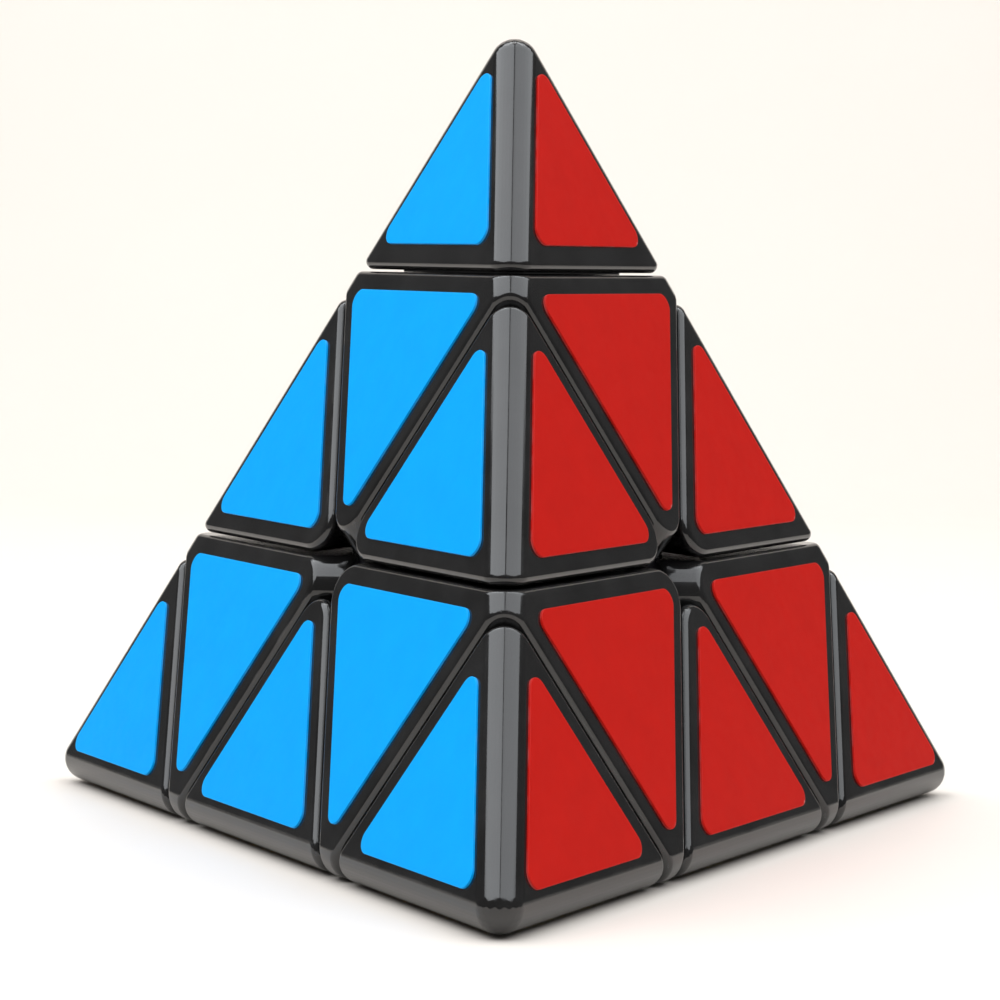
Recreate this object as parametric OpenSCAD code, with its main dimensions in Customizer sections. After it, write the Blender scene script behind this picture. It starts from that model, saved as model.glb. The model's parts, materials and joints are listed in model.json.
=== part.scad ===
// Pyramid twisty puzzle: a regular tetrahedron that turns in layers about its four corners.
// The origin is the middle of the core, where the four turning axes cross. +Z points at the top
// corner, -Y towards the front corner, and the puzzle rests on the face below.

/* [Pyramid] */
// Edge of the sharp tetrahedron that the four outer faces lie on
sharp_edge = 106; // [104:0.5:108]
// Width of the groove between neighbouring pieces
groove = 0.6; // [0.4:0.1:0.8]
// Depth of the flat that runs along each outer edge
edge_flat_depth = 2.1; // [1:0.1:2.5]
// Height lost where the sharp corner is rounded off
corner_loss = 5; // [4:0.1:6]
// Radius of the hollow in the middle of each face
face_hole_radius = 3; // [2:0.1:3.4]
// Thickness of the moulded shells
wall = 1.8; // [1.5:0.1:2]

/* [Stickers] */
// Thickness of a sticker
sticker_thickness = 0.25; // [0.1:0.05:0.4]
// Radius of a sticker's corners
sticker_corner_radius = 1.3; // [0.8:0.1:2]
// Margin between a sticker and an outer edge of the pyramid
rim_margin = 3.95; // [3.5:0.05:5]
// Margin between a tip's sticker and its cut
tip_margin = 2.95; // [1.5:0.05:4]
// Margin between a centre piece's sticker and its cuts
centre_margin = 2.15; // [1.5:0.05:4]
// Margin between an edge piece's sticker and its cuts
edge_margin = 2.65; // [1.5:0.05:4]

/* [Core and screws] */
// Radius of the ball in the middle of the core
core_radius = 7.5; // [6:0.5:9]
// Radius of the core's four posts
post_radius = 3.8; // [3:0.1:4.5]
// Distance from the middle of the core to the end of a post
post_reach = 13.2; // [12:0.1:13.2]
// Radius of a screw's shank
shank_radius = 1.5; // [1.2:0.1:1.6]
// Radius of a screw's head
head_radius = 3.4; // [2.8:0.1:3.4]
// Radius of a spring's wire
wire_radius = 0.4; // [0.3:0.05:0.45]
// Turns of a spring
spring_turns = 4.5; // [3:0.5:5.5]

/* [Hidden] */
$fn = 96;

// Corners in the order that the rest of the file counts them
corner_names = ["top", "front", "right", "left"];
// A face is counted by the corner opposite to it
face_colours = ["yellow", "green", "blue", "red"];
// The corners round each face, in the order of the lower face's front, right and left corners
face_corners = [[1, 2, 3], [0, 3, 2], [0, 1, 3], [0, 2, 1]];
// The two corners that each edge piece lies between
edge_corners = [[0, 1], [0, 2], [0, 3], [1, 2], [1, 3], [2, 3]];
// The turn about its first corner's axis that carries the top-front edge to each place
edge_spins = [0, 120, 240, 240, 120, 240];

// Angle between two turning axes, and between an axis and an edge's middle
axis_angle = acos(-1 / 3);
half_axis_angle = axis_angle / 2;

// Distances from the core's middle
pyramid_height = sharp_edge * sqrt(2 / 3);
face_distance = pyramid_height / 4;
corner_distance = pyramid_height * 3 / 4;
edge_distance = sharp_edge / sqrt(8);
layer_cut = pyramid_height / 12;
tip_cut = pyramid_height * 5 / 12;
corner_reach = corner_distance - corner_loss;

half_groove = groove / 2;
// Gap between two pieces that are fixed together
fit = 0.05;
// Larger than any distance in the puzzle
beyond = 150;
// Distance from the core's middle at which the face holes end
core_clearance = 12;

// Round bed under the outer pieces, which the edge pieces' feet slide against
bed_radius = 17.5;
foot_outer_radius = bed_radius - 0.3;
foot_inner_radius = post_reach + 0.6;
foot_cut = 4.5;
plug_length = 4;

// Stem of a centre piece, which carries it on its post
stem_radius = 8.8;
stem_bottom = post_reach + 0.3;
stem_top = bed_radius + 0.9;
well_floor = 16.5;
well_radius = 5.6;
well_wall = 1.6;
shank_clearance = 0.1;

// Clip that holds a tip in its well
stalk_radius = well_radius - 0.1;
stalk_hole_radius = 3.9;
stalk_bottom = 28;
bead_height = 30;
bead_depth = 0.25;
bead_length = 1;
tip_plate_thickness = 2;

// Stack on each screw, from the well's floor to the screw's head
spring_length = 7;
spring_radius = 2.9;
washer_bottom = well_floor + spring_length + 2 * fit;
washer_thickness = 0.6;
washer_radius = 4.5;
head_bottom = washer_bottom + washer_thickness + fit;
head_height = 2.2;
screw_tip = 6;
thread_clearance = 0.02;

// Facelets: each face is nine equal triangles
facelet_inradius = sharp_edge / 3 / sqrt(12);
facelet_line = sharp_edge / sqrt(12);

function tip_name(face, k) = corner_names[face_corners[face][k]];
function edge_name(slot) = str(corner_names[edge_corners[slot][0]], "_", corner_names[edge_corners[slot][1]]);
// The side of a face opposite its corner k, named as the edge piece there
function side_name(face, k) =
    let (a = face_corners[face][(k + 1) % 3], b = face_corners[face][(k + 2) % 3])
    str(corner_names[min(a, b)], "_", corner_names[max(a, b)]);

// Carries a shape made about the top corner's axis to another corner's axis
module toward(corner) {
    if (corner == 0)
        children();
    else
        rotate([0, 0, 120 * (corner - 1)])
            rotate([axis_angle, 0, 0])
                rotate([0, 0, 180])
                    children();
}

// Carries a shape made at the top-front edge to another edge
module at_edge(slot) {
    toward(edge_corners[slot][0])
        rotate([0, 0, edge_spins[slot]])
            children();
}

module above(height) {
    translate([-beyond, -beyond, height])
        cube(2 * beyond);
}

module below(height) {
    translate([-beyond, -beyond, height - 2 * beyond])
        cube(2 * beyond);
}

// The whole outer form, moved inwards by inset
module pyramid(inset) {
    difference() {
        sphere(r = corner_reach - inset);
        for (corner = [0:3])
            toward(corner)
                below(inset - face_distance);
        for (slot = [0:5])
            at_edge(slot)
                rotate([half_axis_angle, 0, 0])
                    above(edge_distance - edge_flat_depth - inset);
    }
}

// Round hollows in the middle of the faces, where the corners of six pieces are cut back
module face_holes() {
    for (corner = [0:3])
        toward(corner)
            translate([0, 0, -beyond])
                cylinder(r = face_hole_radius, h = beyond - core_clearance);
}

module core_spider() {
    color("dimgray")
        difference() {
            union() {
                sphere(r = core_radius);
                for (corner = [0:3])
                    toward(corner)
                        cylinder(r = post_radius, h = post_reach);
            }
            for (corner = [0:3])
                toward(corner)
                    translate([0, 0, screw_tip - 1])
                        cylinder(r = shank_radius + thread_clearance, h = post_reach);
        }
}

module axis_screw() {
    recess_width = 0.9;
    recess_depth = 1.3;
    difference() {
        union() {
            translate([0, 0, screw_tip])
                cylinder(r = shank_radius, h = head_bottom - screw_tip + 0.1);
            translate([0, 0, head_bottom])
                cylinder(r = head_radius, h = head_height);
        }
        for (turn = [0, 90])
            rotate([0, 0, turn])
                translate([-head_radius * 0.6, -recess_width / 2, head_bottom + head_height - recess_depth])
                    cube([head_radius * 1.2, recess_width, recess_depth + 1]);
    }
}

// Coil of round wire, standing on the well's floor
module axis_spring() {
    ring_points = 6;
    steps = 10 * spring_turns;
    rise = spring_length - 2 * wire_radius - fit;
    points = [
        for (step = [0:steps], side = [0:ring_points - 1])
            let (
                around = 360 * spring_turns * step / steps,
                section = 360 * side / ring_points,
                reach = spring_radius + wire_radius * cos(section)
            )
            [
                reach * cos(around),
                reach * sin(around),
                well_floor + fit + wire_radius + rise * step / steps + wire_radius * sin(section)
            ]
    ];
    walls = [
        for (step = [0:steps - 1], side = [0:ring_points - 1])
            let (
                a = step * ring_points + side,
                b = step * ring_points + (side + 1) % ring_points
            )
            each [[a, b, b + ring_points], [a, b + ring_points, a + ring_points]]
    ];
    first_end = [for (side = [0:ring_points - 1]) ring_points - 1 - side];
    last_end = [for (side = [0:ring_points - 1]) steps * ring_points + side];
    polyhedron(points, concat(walls, [first_end, last_end]));
}

module axis_washer() {
    translate([0, 0, washer_bottom])
        difference() {
            cylinder(r = washer_radius, h = washer_thickness);
            translate([0, 0, -1])
                cylinder(r = shank_radius + shank_clearance, h = washer_thickness + 2);
        }
}

module axis_screws() {
    color("silver")
        for (corner = [0:3])
            toward(corner)
                axis_screw();
}

module axis_springs() {
    color("lightgray")
        for (corner = [0:3])
            toward(corner)
                axis_spring();
}

module axis_washers() {
    color("silver")
        for (corner = [0:3])
            toward(corner)
                axis_washer();
}

// The space of a centre piece between the cuts, moved inwards by inset
module centre_block(inset) {
    difference() {
        pyramid(inset);
        below(layer_cut + half_groove + inset);
        above(tip_cut - half_groove - inset);
        for (other = [1:3])
            toward(other)
                above(layer_cut - half_groove - inset);
        rotate([90, 0, 30])
            sphere(r = bed_radius + inset);
    }
}

// Hollow octahedral shell, with round holes for its stem
module centre_shell() {
    difference() {
        centre_block(0);
        centre_block(wall);
        cylinder(r = stem_radius + fit, h = stem_top + 1);
        cylinder(r = well_radius + well_wall + fit, h = beyond);
        face_holes();
    }
}

// Stem with the bearing for the screw, and the well that the tip clips into
module centre_stem() {
    groove_clearance = 0.15;
    difference() {
        union() {
            translate([0, 0, stem_bottom])
                cylinder(r = stem_radius, h = stem_top - stem_bottom);
            translate([0, 0, stem_bottom])
                cylinder(r = well_radius + well_wall, h = tip_cut - half_groove - stem_bottom);
        }
        translate([0, 0, well_floor])
            cylinder(r = well_radius, h = beyond);
        cylinder(r = shank_radius + shank_clearance, h = beyond);
        translate([0, 0, bead_height - bead_length / 2 - groove_clearance])
            cylinder(
                r = stalk_radius + bead_depth + groove_clearance,
                h = bead_length + 2 * groove_clearance
            );
    }
}

module centre_piece() {
    color([0.14, 0.14, 0.15]) {
        centre_shell();
        centre_stem();
    }
}

// The space of a tip above its cut, moved inwards by inset
module tip_block(inset, floor_height) {
    difference() {
        pyramid(inset);
        below(floor_height);
    }
}

module tip_shell() {
    difference() {
        tip_block(0, tip_cut + half_groove);
        tip_block(wall, tip_cut);
    }
}

// Plate that closes the tip, with the tube that clips into the centre piece
module tip_plug() {
    plate_bottom = tip_cut + half_groove;
    plate_top = plate_bottom + tip_plate_thickness;
    difference() {
        union() {
            difference() {
                tip_block(wall + fit, plate_bottom);
                above(plate_top);
            }
            translate([0, 0, stalk_bottom])
                cylinder(r = stalk_radius, h = plate_top - stalk_bottom);
            translate([0, 0, bead_height - bead_length / 2])
                cylinder(r = stalk_radius + bead_depth, h = bead_length);
        }
        translate([0, 0, stalk_bottom - 1])
            cylinder(r = stalk_hole_radius, h = plate_bottom - stalk_bottom + 1);
    }
}

module tip_piece() {
    color([0.14, 0.14, 0.15]) {
        tip_shell();
        tip_plug();
    }
}

// The space of the top-front edge piece above both cuts, moved inwards by inset
module edge_block(inset, bottom_radius) {
    difference() {
        pyramid(inset);
        below(layer_cut + half_groove + inset);
        toward(1)
            below(layer_cut + half_groove + inset);
        sphere(r = bottom_radius);
    }
}

// Hollow shell of an edge piece, open on the side of the core
module edge_shell() {
    color([0.14, 0.14, 0.15])
        difference() {
            edge_block(0, bed_radius);
            edge_block(wall, bed_radius - 1);
            face_holes();
        }
}

// Foot that reaches under the centre pieces on both sides, with a plug into the shell
module edge_foot() {
    color([0.2, 0.2, 0.21])
        difference() {
            union() {
                difference() {
                    sphere(r = foot_outer_radius);
                    below(foot_cut + half_groove);
                    toward(1)
                        below(foot_cut + half_groove);
                    for (other = [2:3])
                        toward(other)
                            above(foot_cut - half_groove);
                }
                difference() {
                    sphere(r = bed_radius - fit);
                    below(layer_cut + half_groove);
                    toward(1)
                        below(layer_cut + half_groove);
                    face_holes();
                }
                difference() {
                    sphere(r = bed_radius + plug_length);
                    below(layer_cut + half_groove + wall + fit);
                    toward(1)
                        below(layer_cut + half_groove + wall + fit);
                    for (other = [2:3])
                        toward(other)
                            below(wall + fit - face_distance);
                    face_holes();
                }
            }
            sphere(r = foot_inner_radius);
        }
}

// Triangle with round corners that points along +X
module rounded_triangle(inradius, corner_radius) {
    inner = inradius - corner_radius;
    side = inner * sqrt(12);
    circle(r = 2 * inner, $fn = 3);
    for (turn = [0, 120, 240])
        rotate([0, 0, turn]) {
            translate([-inradius, -side / 2])
                square([1.5 * corner_radius, side]);
            translate([2 * inner, 0])
                circle(r = corner_radius);
        }
}

// A sticker on the lower face, with its middle at reach along the direction given
module sticker(direction, reach, inradius, points_out) {
    rotate([0, 0, direction])
        translate([reach, 0, -face_distance - sticker_thickness])
            rotate([0, 0, points_out ? 0 : 180])
                linear_extrude(sticker_thickness)
                    rounded_triangle(inradius, sticker_corner_radius);
}

module tip_sticker(face, k) {
    inradius = facelet_inradius - (tip_margin + 2 * rim_margin) / 3;
    color(face_colours[face])
        toward(face)
            sticker(120 * k - 90, facelet_line + tip_margin + inradius, inradius, true);
}

module centre_sticker(face, k) {
    inradius = facelet_inradius - centre_margin;
    color(face_colours[face])
        toward(face)
            sticker(120 * k - 90, facelet_line - centre_margin - inradius, inradius, false);
}

module edge_sticker(face, k) {
    inradius = facelet_inradius - (2 * edge_margin + rim_margin) / 3;
    color(face_colours[face])
        toward(face)
            sticker(120 * k + 90, facelet_line - rim_margin - inradius, inradius, false);
}

core_spider();
axis_screws();
axis_springs();
axis_washers();
for (corner = [0:3]) {
    toward(corner) centre_piece();
    toward(corner) tip_piece();
}
for (slot = [0:5]) {
    at_edge(slot) edge_shell();
    at_edge(slot) edge_foot();
}
for (face = [0:3], k = [0:2]) {
    tip_sticker(face, k);
    centre_sticker(face, k);
    edge_sticker(face, k);
}
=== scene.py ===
import json
import math

import bmesh
import bpy
import numpy as np
from mathutils import Matrix, Vector


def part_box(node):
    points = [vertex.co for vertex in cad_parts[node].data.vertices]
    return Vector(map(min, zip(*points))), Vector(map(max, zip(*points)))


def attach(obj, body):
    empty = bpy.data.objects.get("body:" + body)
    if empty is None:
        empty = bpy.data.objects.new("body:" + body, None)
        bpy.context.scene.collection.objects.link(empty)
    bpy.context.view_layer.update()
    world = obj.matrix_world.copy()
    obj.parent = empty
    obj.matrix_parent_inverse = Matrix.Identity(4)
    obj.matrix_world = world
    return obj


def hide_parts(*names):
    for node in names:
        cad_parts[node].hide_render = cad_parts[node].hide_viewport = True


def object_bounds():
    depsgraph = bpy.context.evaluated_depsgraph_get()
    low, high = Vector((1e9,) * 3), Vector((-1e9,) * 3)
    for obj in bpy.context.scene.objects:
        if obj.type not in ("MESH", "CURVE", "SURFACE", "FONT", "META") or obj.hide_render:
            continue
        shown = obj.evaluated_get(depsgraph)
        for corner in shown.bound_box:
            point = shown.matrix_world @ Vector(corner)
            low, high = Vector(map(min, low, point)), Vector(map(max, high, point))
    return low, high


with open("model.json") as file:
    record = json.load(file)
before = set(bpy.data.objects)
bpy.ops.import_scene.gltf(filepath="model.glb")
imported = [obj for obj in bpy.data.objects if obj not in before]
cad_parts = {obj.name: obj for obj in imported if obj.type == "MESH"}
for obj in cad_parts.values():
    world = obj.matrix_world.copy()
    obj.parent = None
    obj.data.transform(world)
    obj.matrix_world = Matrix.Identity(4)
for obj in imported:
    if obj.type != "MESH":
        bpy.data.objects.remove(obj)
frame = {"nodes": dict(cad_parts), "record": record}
cad_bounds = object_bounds()

# Shapes are made in millimetres, and scaled to metres when they become objects
MM = 0.001

# Sizes that the frame gives: the lower face and the stickers' thickness
low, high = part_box("yellow_sticker_centre_front")
FACE_DISTANCE = -high.z / MM
STICKER_THICKNESS = (high.z - low.z) / MM
HEIGHT = 4 * FACE_DISTANCE
SHARP_EDGE = HEIGHT * math.sqrt(1.5)
LAYER_CUT = HEIGHT / 12
TIP_CUT = HEIGHT * 5 / 12
HALF_GROOVE = 0.12
BED_RADIUS = 17.5
WELL_HOLE_RADIUS = 7.2
# Where a point inside a tip lies above its cut, and inside an edge piece from the core
TIP_DEPTH = 7
EDGE_DEPTH = 26
# Raised triangle under each tip
TIP_BOSS_INRADIUS = 7.16
TIP_BOSS_CORNER = 1.5
TIP_BOSS_CLEARANCE = 0.03
TIP_BOSS_BEVEL = 0.08

# Roundings of the moulded pieces
RIM_ROUNDING = 2.51
INNER_ROUNDING = 3.4
BORDER_ROUNDING = 0.8
ARC_STEP = math.radians(9)
DOME_STEPS = 12
ROUND_SEGMENTS = 96
# Points this close are one, and faces this close to one plane are joined
MERGE_DISTANCE = 0.003
CAD_MERGE_DISTANCE = 0.002
FLAT_ANGLE = math.radians(0.3)
CAD_FLAT_ANGLE = math.radians(0.5)
# Size that planes are scaled to while their corners are sought
DUAL_SIZE = 10
SHARP_ANGLE = math.radians(32)
NORMAL_WEIGHT = 60
# Flat faces over this area get a narrow margin, so that wear stays at their borders
FLAT_AREA = 8
FLAT_MARGIN = 0.25

# Stickers
STICKER_CORNER = 1.3
STICKER_BEVEL = 0.07
STICKER_BEVEL_STEPS = 3
STICKER_FLAT_MARGIN = 0.15
RIM_MARGIN = 3.95
TIP_MARGIN = 2.95
CENTRE_MARGIN = 2.15
EDGE_MARGIN = 2.65
FACELET_INRADIUS = SHARP_EDGE / 3 / math.sqrt(12)
FACELET_LINE = SHARP_EDGE / math.sqrt(12)

# Corners, faces and edges, in the order that the part counts them
CORNERS = ["top", "front", "right", "left"]
FACE_COLOURS = ["yellow", "green", "blue", "red"]
FACE_CORNERS = [[1, 2, 3], [0, 3, 2], [0, 1, 3], [0, 2, 1]]
EDGE_CORNERS = [(0, 1), (0, 2), (0, 3), (1, 2), (1, 3), (2, 3)]
EDGE_SPINS = [0, 120, 240, 240, 120, 240]
AXIS_ANGLE = math.acos(-1 / 3)


def turn(degrees, axis):
    return Matrix.Rotation(math.radians(degrees), 4, axis)


def toward(corner):
    """Carries a shape made about the top corner's axis to another corner's axis."""
    if corner == 0:
        return Matrix.Identity(4)
    return turn(120 * (corner - 1), "Z") @ Matrix.Rotation(AXIS_ANGLE, 4, "X") @ turn(180, "Z")


def at_edge(slot):
    """Carries a shape made at the top-front edge to another edge."""
    return toward(EDGE_CORNERS[slot][0]) @ turn(EDGE_SPINS[slot], "Z")


AXES = [(toward(corner) @ Vector((0, 0, 1))).normalized() for corner in range(4)]


def edge_name(a, b):
    return f"{CORNERS[min(a, b)]}_{CORNERS[max(a, b)]}"


# ---------------------------------------------------------------- rounded solids

def arc(start, end, step):
    """Unit directions from one to the other, both included."""
    angle = start.angle(end)
    count = max(1, math.ceil(angle / step))
    sine = math.sin(angle)
    return [
        (start * math.sin(angle * (1 - i / count)) + end * math.sin(angle * i / count)) / sine
        for i in range(count + 1)
    ]


def fillet_planes(first, second, radius):
    """Planes that round the line between two planes."""
    normals = np.array([first[0], second[0]])
    depths = np.array([first[1] - radius, second[1] - radius])
    middle = Vector(np.linalg.lstsq(normals, depths, rcond=None)[0])
    return [(n, n.dot(middle) + radius) for n in arc(first[0], second[0], ARC_STEP)[1:-1]]


def dome_planes(faces, radius):
    """Planes that round the corner between three planes."""
    normals = np.array([n for n, _ in faces])
    centre = Vector(np.linalg.solve(normals, [d - radius for _, d in faces]))
    count = DOME_STEPS
    planes = []
    for i in range(1, count - 1):
        for j in range(1, count - i):
            weights = (i, j, count - i - j)
            n = sum((w * face[0] for w, face in zip(weights, faces)), Vector()).normalized()
            planes.append((n, n.dot(centre) + radius))
    return planes


def plane_corners(planes, inside):
    """The corners of the space under the planes, each with the three planes that meet there."""
    dual = bmesh.new()
    for normal, distance in planes:
        dual.verts.new(normal * (DUAL_SIZE / (distance - normal.dot(inside))))
    dual.verts.index_update()
    bmesh.ops.convex_hull(dual, input=dual.verts)
    corners = []
    for face in dual.faces:
        ids = [vert.index for vert in face.verts]
        normals = np.array([planes[i][0] for i in ids])
        if abs(np.linalg.det(normals)) > 1e-7:
            corners.append((ids, Vector(np.linalg.solve(normals, [planes[i][1] for i in ids]))))
    dual.free()
    return corners


def rounded_points(planes, inside, radius):
    """Points on the solid under the planes, with every border rounded to the radius."""
    points = []
    for ids, corner in plane_corners([(n, d - radius) for n, d in planes], inside):
        normals = [planes[i][0] for i in ids]
        widest = 0
        for a, b in ((0, 1), (1, 2), (0, 2)):
            first, second = sorted((a, b), key=lambda i: ids[i])
            points += [corner + n * radius for n in arc(normals[first], normals[second], ARC_STEP)]
            widest = max(widest, normals[a].angle(normals[b]))
        count = math.ceil(widest / ARC_STEP)
        for i in range(1, count - 1):
            for j in range(1, count - i):
                n = (i * normals[0] + j * normals[1] + (count - i - j) * normals[2]).normalized()
                points.append(corner + n * radius)
    return points


def hull(points):
    """A closed mesh round the points, with its flat faces joined."""
    bm = bmesh.new()
    for point in points:
        bm.verts.new(point)
    bmesh.ops.remove_doubles(bm, verts=bm.verts, dist=MERGE_DISTANCE)
    bmesh.ops.convex_hull(bm, input=bm.verts)
    loose = [v for v in bm.verts if not v.link_faces]
    bmesh.ops.delete(bm, geom=loose, context="VERTS")
    bmesh.ops.dissolve_limit(
        bm, angle_limit=FLAT_ANGLE, verts=bm.verts, edges=bm.edges, delimit=set()
    )
    flats = [face for face in bm.faces if face.calc_area() > FLAT_AREA]
    bmesh.ops.inset_individual(bm, faces=flats, thickness=FLAT_MARGIN, use_even_offset=True)
    bmesh.ops.recalc_face_normals(bm, faces=bm.faces)
    return bm


def to_object(bm, name):
    mesh = bpy.data.meshes.new(name)
    bm.to_mesh(mesh)
    bm.free()
    piece = bpy.data.objects.new(name, mesh)
    bpy.context.scene.collection.objects.link(piece)
    return piece


def carve(piece, cutter):
    """Takes the cutter away from the piece, and removes the cutter."""
    boolean = piece.modifiers.new("carve", "BOOLEAN")
    boolean.operation = "DIFFERENCE"
    boolean.solver = "EXACT"
    boolean.object = cutter
    bpy.context.view_layer.update()
    seen = piece.evaluated_get(bpy.context.evaluated_depsgraph_get())
    carved = bpy.data.meshes.new_from_object(seen)
    piece.modifiers.clear()
    piece.data = carved
    bpy.data.objects.remove(cutter)


def ball(radius):
    bm = bmesh.new()
    bmesh.ops.create_uvsphere(
        bm, u_segments=ROUND_SEGMENTS, v_segments=ROUND_SEGMENTS // 2, radius=radius
    )
    return to_object(bm, "cutter")


def rod(radius, length):
    bm = bmesh.new()
    bmesh.ops.create_cone(
        bm, cap_ends=True, segments=ROUND_SEGMENTS, radius1=radius, radius2=radius, depth=length,
        matrix=Matrix.Translation((0, 0, length / 2))
    )
    return to_object(bm, "cutter")


def as_bmesh(piece):
    """The object's mesh as a bmesh, and the object is removed."""
    bm = bmesh.new()
    bm.from_mesh(piece.data)
    bpy.data.objects.remove(piece)
    return bm


def inner_solid(node):
    """The inner one of the two solids of a CAD node: a centre piece's stem or a tip's plug."""
    bm = bmesh.new()
    bm.from_mesh(frame["nodes"][node].data)
    bm.transform(Matrix.Scale(1 / MM, 4))
    bmesh.ops.remove_doubles(bm, verts=bm.verts, dist=CAD_MERGE_DISTANCE)
    groups, seen = [], set()
    for start in bm.verts:
        if start in seen:
            continue
        group, waiting = [], [start]
        seen.add(start)
        while waiting:
            vert = waiting.pop()
            group.append(vert)
            for edge in vert.link_edges:
                other = edge.other_vert(vert)
                if other not in seen:
                    seen.add(other)
                    waiting.append(other)
        groups.append(group)
    inner = min(groups, key=lambda group: max(v.co.xy.length for v in group))
    for group in groups:
        if group is not inner:
            bmesh.ops.delete(bm, geom=group, context="VERTS")
    bmesh.ops.dissolve_limit(
        bm, angle_limit=CAD_FLAT_ANGLE, verts=bm.verts, edges=bm.edges, delimit=set()
    )
    return bm


def joined(first, second):
    """Both shapes in one bmesh."""
    mesh = bpy.data.meshes.new("joining")
    second.to_mesh(mesh)
    second.free()
    first.from_mesh(mesh)
    bpy.data.meshes.remove(mesh)
    return first


def rounded_outline(inradius, corner_radius):
    """Outline of a triangle with round corners that points along +X."""
    inner = inradius - corner_radius
    outline = []
    half_steps = 8
    for corner in range(3):
        around = math.radians(120 * corner)
        for step in range(-half_steps, half_steps + 1):
            angle = around + math.radians(60 * step / half_steps)
            outline.append((
                2 * inner * math.cos(around) + corner_radius * math.cos(angle),
                2 * inner * math.sin(around) + corner_radius * math.sin(angle),
            ))
    return outline


def outline_prism(levels, inradius, corner_radius):
    """A closed prism of the round-cornered triangle, from levels of inset and height."""
    bm = bmesh.new()
    rings = []
    for inset, height in levels:
        outline = rounded_outline(inradius - inset, corner_radius - inset)
        rings.append([bm.verts.new((x, y, height)) for x, y in outline])
    for upper, lower in zip(rings, rings[1:]):
        for i in range(len(upper)):
            j = (i + 1) % len(upper)
            bm.faces.new((upper[i], upper[j], lower[j], lower[i]))
    bm.faces.new(rings[0])
    bm.faces.new(rings[-1])
    bmesh.ops.recalc_face_normals(bm, faces=bm.faces)
    return bm


# ---------------------------------------------------------------- the three kinds of shell

def outer_face(corner):
    return (-AXES[corner], FACE_DISTANCE)


def above_cut(corner, distance):
    return (-AXES[corner], -(distance + HALF_GROOVE))


def below_cut(corner, distance):
    return (AXES[corner], distance - HALF_GROOVE)


def rims(faces, radius):
    """Planes that round the lines between every two of the faces."""
    pairs = [(a, b) for i, a in enumerate(faces) for b in faces[i + 1:]]
    return [plane for a, b in pairs for plane in fillet_planes(a, b, radius)]


def tip_boss():
    """The raised triangle under a tip."""
    top = TIP_CUT + HALF_GROOVE + BORDER_ROUNDING
    bottom = TIP_CUT - HALF_GROOVE + TIP_BOSS_CLEARANCE
    levels = [(0, top), (0, bottom + TIP_BOSS_BEVEL), (TIP_BOSS_BEVEL, bottom)]
    boss = outline_prism(levels, TIP_BOSS_INRADIUS, TIP_BOSS_CORNER)
    boss.transform(turn(-90, "Z"))
    return boss


def tip_shell():
    faces = [outer_face(corner) for corner in (1, 2, 3)]
    planes = faces + rims(faces, RIM_ROUNDING) + dome_planes(faces, RIM_ROUNDING)
    planes.append(above_cut(0, TIP_CUT))
    middle = Vector((0, 0, TIP_CUT + TIP_DEPTH))
    shell = hull(rounded_points(planes, middle, BORDER_ROUNDING))
    return joined(joined(shell, tip_boss()), inner_solid("tip_top"))


def centre_shell():
    faces = [outer_face(corner) for corner in (1, 2, 3)]
    sides = [below_cut(corner, LAYER_CUT) for corner in (1, 2, 3)]
    planes = faces + rims(faces, RIM_ROUNDING) + sides + rims(sides, INNER_ROUNDING)
    planes += [above_cut(0, LAYER_CUT), below_cut(0, TIP_CUT)]
    middle = Vector((0, 0, (LAYER_CUT + TIP_CUT) / 2))
    shell = to_object(hull(rounded_points(planes, middle, BORDER_ROUNDING)), "shell")
    carve(shell, ball(BED_RADIUS))
    carve(shell, rod(WELL_HOLE_RADIUS, HEIGHT))
    return joined(as_bmesh(shell), inner_solid("centre_top"))


def edge_shell():
    faces = [outer_face(corner) for corner in (2, 3)]
    cuts = [above_cut(corner, LAYER_CUT) for corner in (0, 1)]
    planes = faces + rims(faces, RIM_ROUNDING) + cuts + rims(cuts, INNER_ROUNDING)
    middle = (AXES[0] + AXES[1]).normalized() * EDGE_DEPTH
    shell = to_object(hull(rounded_points(planes, middle, BORDER_ROUNDING)), "shell")
    carve(shell, ball(BED_RADIUS))
    return as_bmesh(shell)


# ---------------------------------------------------------------- stickers

def sticker_shape(inradius):
    """A die-cut sticker below z = 0, with its cut edge rolled over a little."""
    levels = [(0, 0)]
    for step in range(STICKER_BEVEL_STEPS + 1):
        angle = math.radians(90 * step / STICKER_BEVEL_STEPS)
        inset = STICKER_BEVEL * (1 - math.cos(angle))
        levels.append((inset, STICKER_BEVEL * (1 - math.sin(angle)) - STICKER_THICKNESS))
    levels.append((STICKER_BEVEL + STICKER_FLAT_MARGIN, -STICKER_THICKNESS))
    sticker = outline_prism(levels, inradius, STICKER_CORNER)
    # The side faces take the second material, which paints shade on them
    for face in sticker.faces:
        if abs(face.normal.z) < 0.1:
            face.material_index = 1
    return sticker


def sticker_place(face, direction, reach, points_out):
    """Where a sticker lies on its face."""
    across = Matrix.Translation((reach, 0, -FACE_DISTANCE))
    spin = turn(0 if points_out else 180, "Z")
    return toward(face) @ turn(direction, "Z") @ across @ spin


# ---------------------------------------------------------------- materials

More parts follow.
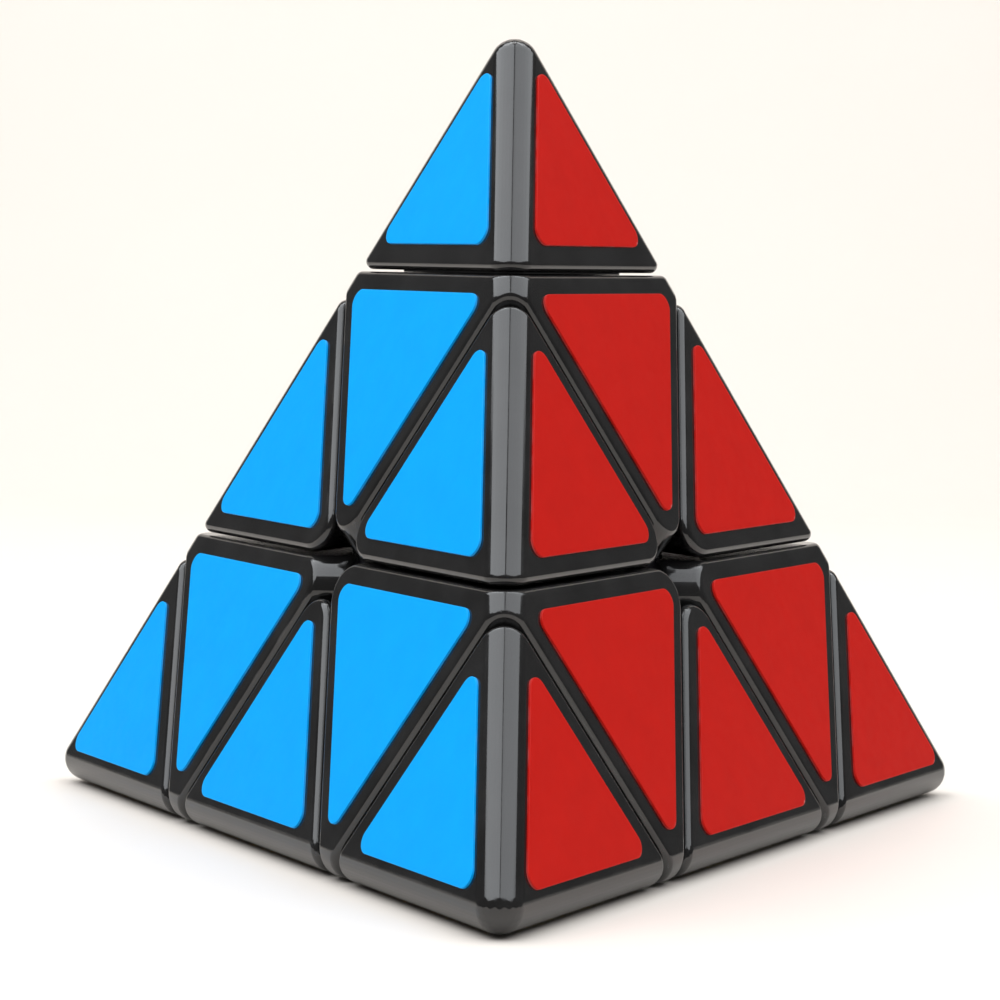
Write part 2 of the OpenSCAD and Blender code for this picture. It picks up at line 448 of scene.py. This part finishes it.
class Look:
    """A node material for one finish, with helpers for its detail."""

    def __init__(self, name, roughness):
        self.material = bpy.data.materials.new(name)
        self.material.use_nodes = True
        self.nodes = self.material.node_tree.nodes
        self.links = self.material.node_tree.links
        self.shader = self.nodes["Principled BSDF"]
        self.roughness = roughness
        self.place = self.nodes.new("ShaderNodeTexCoord").outputs["Object"]

    def noise(self, per_metre, detail=3.0, rough=0.55):
        node = self.nodes.new("ShaderNodeTexNoise")
        node.inputs["Scale"].default_value = per_metre
        node.inputs["Detail"].default_value = detail
        node.inputs["Roughness"].default_value = rough
        self.links.new(self.place, node.inputs["Vector"])
        return node.outputs["Fac"]

    def ranged(self, value, low, high, out_low, out_high):
        node = self.nodes.new("ShaderNodeMapRange")
        self.links.new(value, node.inputs["Value"])
        for key, number in zip(
            ("From Min", "From Max", "To Min", "To Max"), (low, high, out_low, out_high)
        ):
            node.inputs[key].default_value = number
        return node.outputs["Result"]

    def mixed(self, factor, first, second):
        node = self.nodes.new("ShaderNodeMix")
        node.data_type = "RGBA"
        self.links.new(factor, node.inputs["Factor"])
        for key, colour in (("A", first), ("B", second)):
            socket = [s for s in node.inputs if s.name == key and s.type == "RGBA"][0]
            if isinstance(colour, bpy.types.NodeSocket):
                self.links.new(colour, socket)
            else:
                socket.default_value = (*colour, 1)
        return [s for s in node.outputs if s.type == "RGBA"][0]

    def edge_wear(self, low=0.53, high=0.62):
        """High along convex borders, broken up by noise."""
        point = self.nodes.new("ShaderNodeNewGeometry").outputs["Pointiness"]
        along = self.ranged(point, low, high, 0, 1)
        patches = self.ranged(self.noise(420, 4), 0.42, 0.66, 0, 1)
        node = self.nodes.new("ShaderNodeMath")
        node.operation = "MULTIPLY"
        self.links.new(along, node.inputs[0])
        self.links.new(patches, node.inputs[1])
        return node.outputs["Value"]

    def set_roughness(self, value, spread):
        self.links.new(
            self.ranged(value, 0.3, 0.7, self.roughness - spread, self.roughness + spread),
            self.shader.inputs["Roughness"]
        )

    def bump(self, heights):
        """Adds one bump after another, each a value, a strength and a distance in metres."""
        normal = None
        for value, strength, distance in heights:
            node = self.nodes.new("ShaderNodeBump")
            node.inputs["Strength"].default_value = strength
            node.inputs["Distance"].default_value = distance
            self.links.new(value, node.inputs["Height"])
            if normal:
                self.links.new(normal, node.inputs["Normal"])
            normal = node.outputs["Normal"]
        self.links.new(normal, self.shader.inputs["Normal"])


def lighter(colour, amount):
    return tuple(channel + (1 - channel) * amount for channel in colour)


def darker(colour, amount):
    return tuple(channel * (1 - amount) for channel in colour)


def moulded_plastic(name, colour, roughness, wear):
    """Moulded plastic: fine texture, slow shrinkage waves, rubbed borders and dust haze."""
    look = Look(name, roughness)
    look.shader.inputs["Specular IOR Level"].default_value = 0.68
    haze = look.noise(160, 5)
    hazy = look.ranged(haze, 0.35, 0.75, 0, 1)
    tint = look.mixed(hazy, darker(colour, 0.15), lighter(colour, 0.008))
    tint = look.mixed(look.edge_wear(), tint, lighter(colour, wear))
    look.links.new(tint, look.shader.inputs["Base Color"])
    look.set_roughness(haze, 0.04)
    look.bump([(look.noise(90, 2), 0.06, 0.0002), (look.noise(5200, 2), 0.08, 0.00002)])
    return look.material


def vinyl(name, colour):
    """Vinyl sticker: even colour with slight mottle, satin gloss and a faint orange peel."""
    look = Look(name, 0.4)
    look.shader.inputs["Specular IOR Level"].default_value = 0.11
    mottle = look.noise(300, 4)
    tint = look.mixed(look.ranged(mottle, 0.3, 0.7, 0, 1), darker(colour, 0.06), colour)
    tint = look.mixed(look.edge_wear(0.54, 0.66), tint, lighter(colour, 0.3))
    look.links.new(tint, look.shader.inputs["Base Color"])
    look.set_roughness(look.noise(700, 3), 0.05)
    look.bump([(look.noise(140, 2), 0.05, 0.0001), (look.noise(3200, 2), 0.1, 0.00002)])
    return look.material


def shaded_cut_edge(name, colour):
    """The cut side of a sticker, painted dark as painted shade along the sticker's thickness, with
    a slight random mottle.
    """
    look = Look(name, 0.6)
    shade_mottle = look.ranged(look.noise(1500, 3), 0.35, 0.7, 0, 1)
    # Painted shade: the sides are coloured much darker than the vinyl, standing in for the shade
    # along the sticker's edge
    tint = look.mixed(shade_mottle, darker(colour, 0.86), darker(colour, 0.7))
    look.links.new(tint, look.shader.inputs["Base Color"])
    look.set_roughness(look.noise(900, 2), 0.08)
    look.bump([(look.noise(4000, 2), 0.15, 0.00002)])
    return look.material


def metal(name, colour, roughness):
    """Plated or drawn metal with fine marks and dull patches."""
    look = Look(name, roughness)
    patches = look.noise(900, 4)
    tint = look.mixed(look.ranged(patches, 0.35, 0.7, 0, 1), darker(colour, 0.2), colour)
    look.links.new(tint, look.shader.inputs["Base Color"])
    look.shader.inputs["Metallic"].default_value = 1
    look.set_roughness(patches, 0.08)
    look.bump([(look.noise(6000, 2), 0.2, 0.00002)])
    return look.material


VINYL_COLOURS = {
    "blue_sticker": (0.0, 0.37, 0.92),
    "red_sticker": (0.53, 0.009, 0.005),
    "green_sticker": (0.006, 0.40, 0.05),
    "yellow_sticker": (0.9, 0.66, 0.008),
}
LOOKS = {name: vinyl(name, colour) for name, colour in VINYL_COLOURS.items()}
LOOKS["black_plastic"] = moulded_plastic("black_plastic", (0.0068, 0.0064, 0.0064), 0.13, 0.035)
LOOKS["core_plastic"] = moulded_plastic("core_plastic", (0.022, 0.022, 0.024), 0.42, 0.05)
LOOKS["steel"] = metal("steel", (0.62, 0.62, 0.63), 0.28)
LOOKS["spring_steel"] = metal("spring_steel", (0.5, 0.5, 0.52), 0.32)
# Darker materials for the sticker sides, which paint shade on them
SHADED_CUT_EDGES = {name: shaded_cut_edge(f"{name}_cut", colour) for name, colour in VINYL_COLOURS.items()}


# ---------------------------------------------------------------- putting the pieces in place

def finished_mesh(bm, name, slot):
    """The shape as a mesh in metres, smooth where its borders are rounded."""
    bm.transform(Matrix.Scale(MM, 4))
    mesh = bpy.data.meshes.new(name)
    bm.to_mesh(mesh)
    bm.free()
    mesh.shade_smooth()
    mesh.set_sharp_from_angle(angle=SHARP_ANGLE)
    mesh.materials.clear()
    mesh.materials.append(LOOKS[slot])
    # Stickers get a second material, with painted shade for their sides
    if slot in SHADED_CUT_EDGES:
        mesh.materials.append(SHADED_CUT_EDGES[slot])
    return mesh


def place(name, mesh, matrix, body, node):
    """A copy of the mesh at the matrix, riding on the body in place of the CAD node."""
    copy = mesh.copy()
    in_metres = matrix.copy()
    in_metres.translation = matrix.translation * MM
    copy.transform(in_metres)
    piece = bpy.data.objects.new(name, copy)
    bpy.context.scene.collection.objects.link(piece)
    normals = piece.modifiers.new("even_normals", "WEIGHTED_NORMAL")
    normals.keep_sharp = True
    normals.weight = NORMAL_WEIGHT
    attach(piece, body)
    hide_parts(node)


def place_shells():
    tip = finished_mesh(tip_shell(), "tip_shell", "black_plastic")
    centre = finished_mesh(centre_shell(), "centre_shell", "black_plastic")
    edge = finished_mesh(edge_shell(), "edge_shell", "black_plastic")
    for corner, name in enumerate(CORNERS):
        place(
            f"moulded_tip_{name}", tip, toward(corner),
            f"tip_{name}", f"tip_{name}"
        )
        place(
            f"moulded_centre_{name}", centre, toward(corner),
            f"centre_{name}", f"centre_{name}"
        )
    for slot, (a, b) in enumerate(EDGE_CORNERS):
        name = edge_name(a, b)
        place(
            f"moulded_edge_{name}", edge, at_edge(slot),
            f"edge_{name}", f"edge_shell_{name}"
        )


def place_stickers():
    tip_inradius = FACELET_INRADIUS - (TIP_MARGIN + 2 * RIM_MARGIN) / 3
    centre_inradius = FACELET_INRADIUS - CENTRE_MARGIN
    edge_inradius = FACELET_INRADIUS - (2 * EDGE_MARGIN + RIM_MARGIN) / 3
    tip_reach = FACELET_LINE + TIP_MARGIN + tip_inradius
    centre_reach = FACELET_LINE - CENTRE_MARGIN - centre_inradius
    edge_reach = FACELET_LINE - RIM_MARGIN - edge_inradius
    for face, colour in enumerate(FACE_COLOURS):
        slot = f"{colour}_sticker"
        tip = finished_mesh(sticker_shape(tip_inradius), slot, slot)
        centre = finished_mesh(sticker_shape(centre_inradius), slot, slot)
        edge = finished_mesh(sticker_shape(edge_inradius), slot, slot)
        for k, corner in enumerate(FACE_CORNERS[face]):
            name = CORNERS[corner]
            side = edge_name(FACE_CORNERS[face][(k + 1) % 3], FACE_CORNERS[face][(k + 2) % 3])
            azimuth = 120 * k - 90
            where = sticker_place(face, azimuth, tip_reach, True)
            place(
                f"vinyl_{colour}_tip_{name}", tip, where,
                f"tip_{name}", f"{colour}_sticker_tip_{name}"
            )
            where = sticker_place(face, azimuth, centre_reach, False)
            place(
                f"vinyl_{colour}_centre_{name}", centre, where,
                f"centre_{name}", f"{colour}_sticker_centre_{name}"
            )
            where = sticker_place(face, azimuth + 180, edge_reach, False)
            place(
                f"vinyl_{colour}_edge_{side}", edge, where,
                f"edge_{side}", f"{colour}_sticker_edge_{side}"
            )


def finish_cad_nodes():
    """The core, screws, springs, washers and feet keep their CAD shapes."""
    slots = {part["node"]: part["material_slot"] for part in frame["record"]["subparts"]}
    for name, node in frame["nodes"].items():
        if name.startswith(("core_spider", "axis_", "edge_foot_")):
            node.data.materials.clear()
            node.data.materials.append(LOOKS[slots[name]])


# ---------------------------------------------------------------- floor, light and camera

def floor_profile():
    """Depth and height along a floor that curves up into a backdrop."""
    front, back, bend, top = -0.9, 0.42, 0.3, 1.0
    steps = 24
    ground = cad_bounds[0][2]
    profile = [(front, ground)]
    for step in range(steps + 1):
        angle = math.radians(90 * step / steps)
        profile.append((back + bend * math.sin(angle), ground + bend * (1 - math.cos(angle))))
    return profile + [(back + bend, ground + top)]


def add_floor():
    bm = bmesh.new()
    half_width = 0.5
    rows = [
        [bm.verts.new((x, y, z)) for y, z in floor_profile()] for x in (-half_width, half_width)
    ]
    for i in range(len(rows[0]) - 1):
        bm.faces.new((rows[0][i], rows[1][i], rows[1][i + 1], rows[0][i + 1]))
    floor = to_object(bm, "floor")
    floor.data.shade_smooth()
    look = Look("floor_paper", 0.6)
    tint = look.mixed(look.noise(12, 3), (0.76, 0.70, 0.64), (0.78, 0.72, 0.66))
    look.links.new(tint, look.shader.inputs["Base Color"])
    look.set_roughness(look.noise(30, 3), 0.05)
    look.bump([(look.noise(900, 3), 0.05, 0.0002)])
    floor.data.materials.append(look.material)


def add_softbox(name, side, watts):
    """A large panel above the puzzle that slopes down from the middle to one side."""
    inner, outer = Vector((side * 0.042, 0, 0.75)), Vector((side * 0.66, 0, 0.465))
    depth, depth_middle = 1.1, -0.2
    light = bpy.data.lights.new(name, "AREA")
    light.shape = "RECTANGLE"
    light.size = (outer - inner).length
    light.size_y = depth
    light.energy = watts
    light.color = (0.93, 0.965, 1.0)
    lamp = bpy.data.objects.new(name, light)
    bpy.context.scene.collection.objects.link(lamp)
    across = (outer - inner).normalized()
    along = Vector((0, 1, 0))
    back = across.cross(along)
    if back.z < 0:
        across, back = -across, -back
    middle = (inner + outer) / 2 + Vector((0, depth_middle, 0))
    rotation = Matrix((across, along, back)).transposed().to_4x4()
    lamp.matrix_world = Matrix.Translation(middle) @ rotation
    lamp.visible_camera = False


def add_backdrop_light():
    """A long low panel that keeps the backdrop white."""
    light = bpy.data.lights.new("backdrop_light", "AREA")
    light.shape = "RECTANGLE"
    light.size, light.size_y = 0.9, 0.15
    light.energy = 2.7
    lamp = bpy.data.objects.new("backdrop_light", light)
    bpy.context.scene.collection.objects.link(lamp)
    lamp.matrix_world = Matrix.Translation((0, 0.3, 0.75)) @ turn(55, "X")
    lamp.visible_camera = False


def add_world():
    world = bpy.data.worlds.new("studio")
    bpy.context.scene.world = world
    world.use_nodes = True
    nodes, links = world.node_tree.nodes, world.node_tree.links
    nodes.clear()
    seen, fill = nodes.new("ShaderNodeBackground"), nodes.new("ShaderNodeBackground")
    seen.inputs["Color"].default_value = (1, 1, 1, 1)
    fill.inputs["Color"].default_value = (1, 1, 1, 1)
    fill.inputs["Strength"].default_value = 0.14
    mix, rays = nodes.new("ShaderNodeMixShader"), nodes.new("ShaderNodeLightPath")
    output = nodes.new("ShaderNodeOutputWorld")
    links.new(rays.outputs["Is Camera Ray"], mix.inputs["Fac"])
    links.new(fill.outputs[0], mix.inputs[1])
    links.new(seen.outputs[0], mix.inputs[2])
    links.new(mix.outputs[0], output.inputs["Surface"])


def add_camera():
    azimuth, elevation, roll = (math.radians(v) for v in (0.32, 4.25, -0.86))
    distance, target_height, target_across = 0.3418, 0.0126, -0.00082
    back = Vector((
        math.sin(azimuth) * math.cos(elevation),
        -math.cos(azimuth) * math.cos(elevation),
        math.sin(elevation),
    ))
    right = Vector((math.cos(azimuth), math.sin(azimuth), 0))
    up = back.cross(right)
    target = right * target_across + Vector((0, 0, target_height))
    lens = bpy.data.cameras.new("camera")
    lens.lens = 119
    lens.sensor_width = 36
    lens.clip_start = 0.01
    camera = bpy.data.objects.new("camera", lens)
    bpy.context.scene.collection.objects.link(camera)
    rotation = Matrix((right, up, back)).transposed().to_4x4()
    camera.matrix_world = (
        Matrix.Translation(target + back * distance) @ rotation @ Matrix.Rotation(-roll, 4, "Z")
    )
    bpy.context.scene.camera = camera


add_camera()
place_shells()
place_stickers()
finish_cad_nodes()
add_floor()
add_softbox("softbox_left", -1, 7.4)
add_softbox("softbox_right", 1, 5.8)
add_backdrop_light()
add_world()
bpy.context.scene.view_settings.view_transform = "Standard"
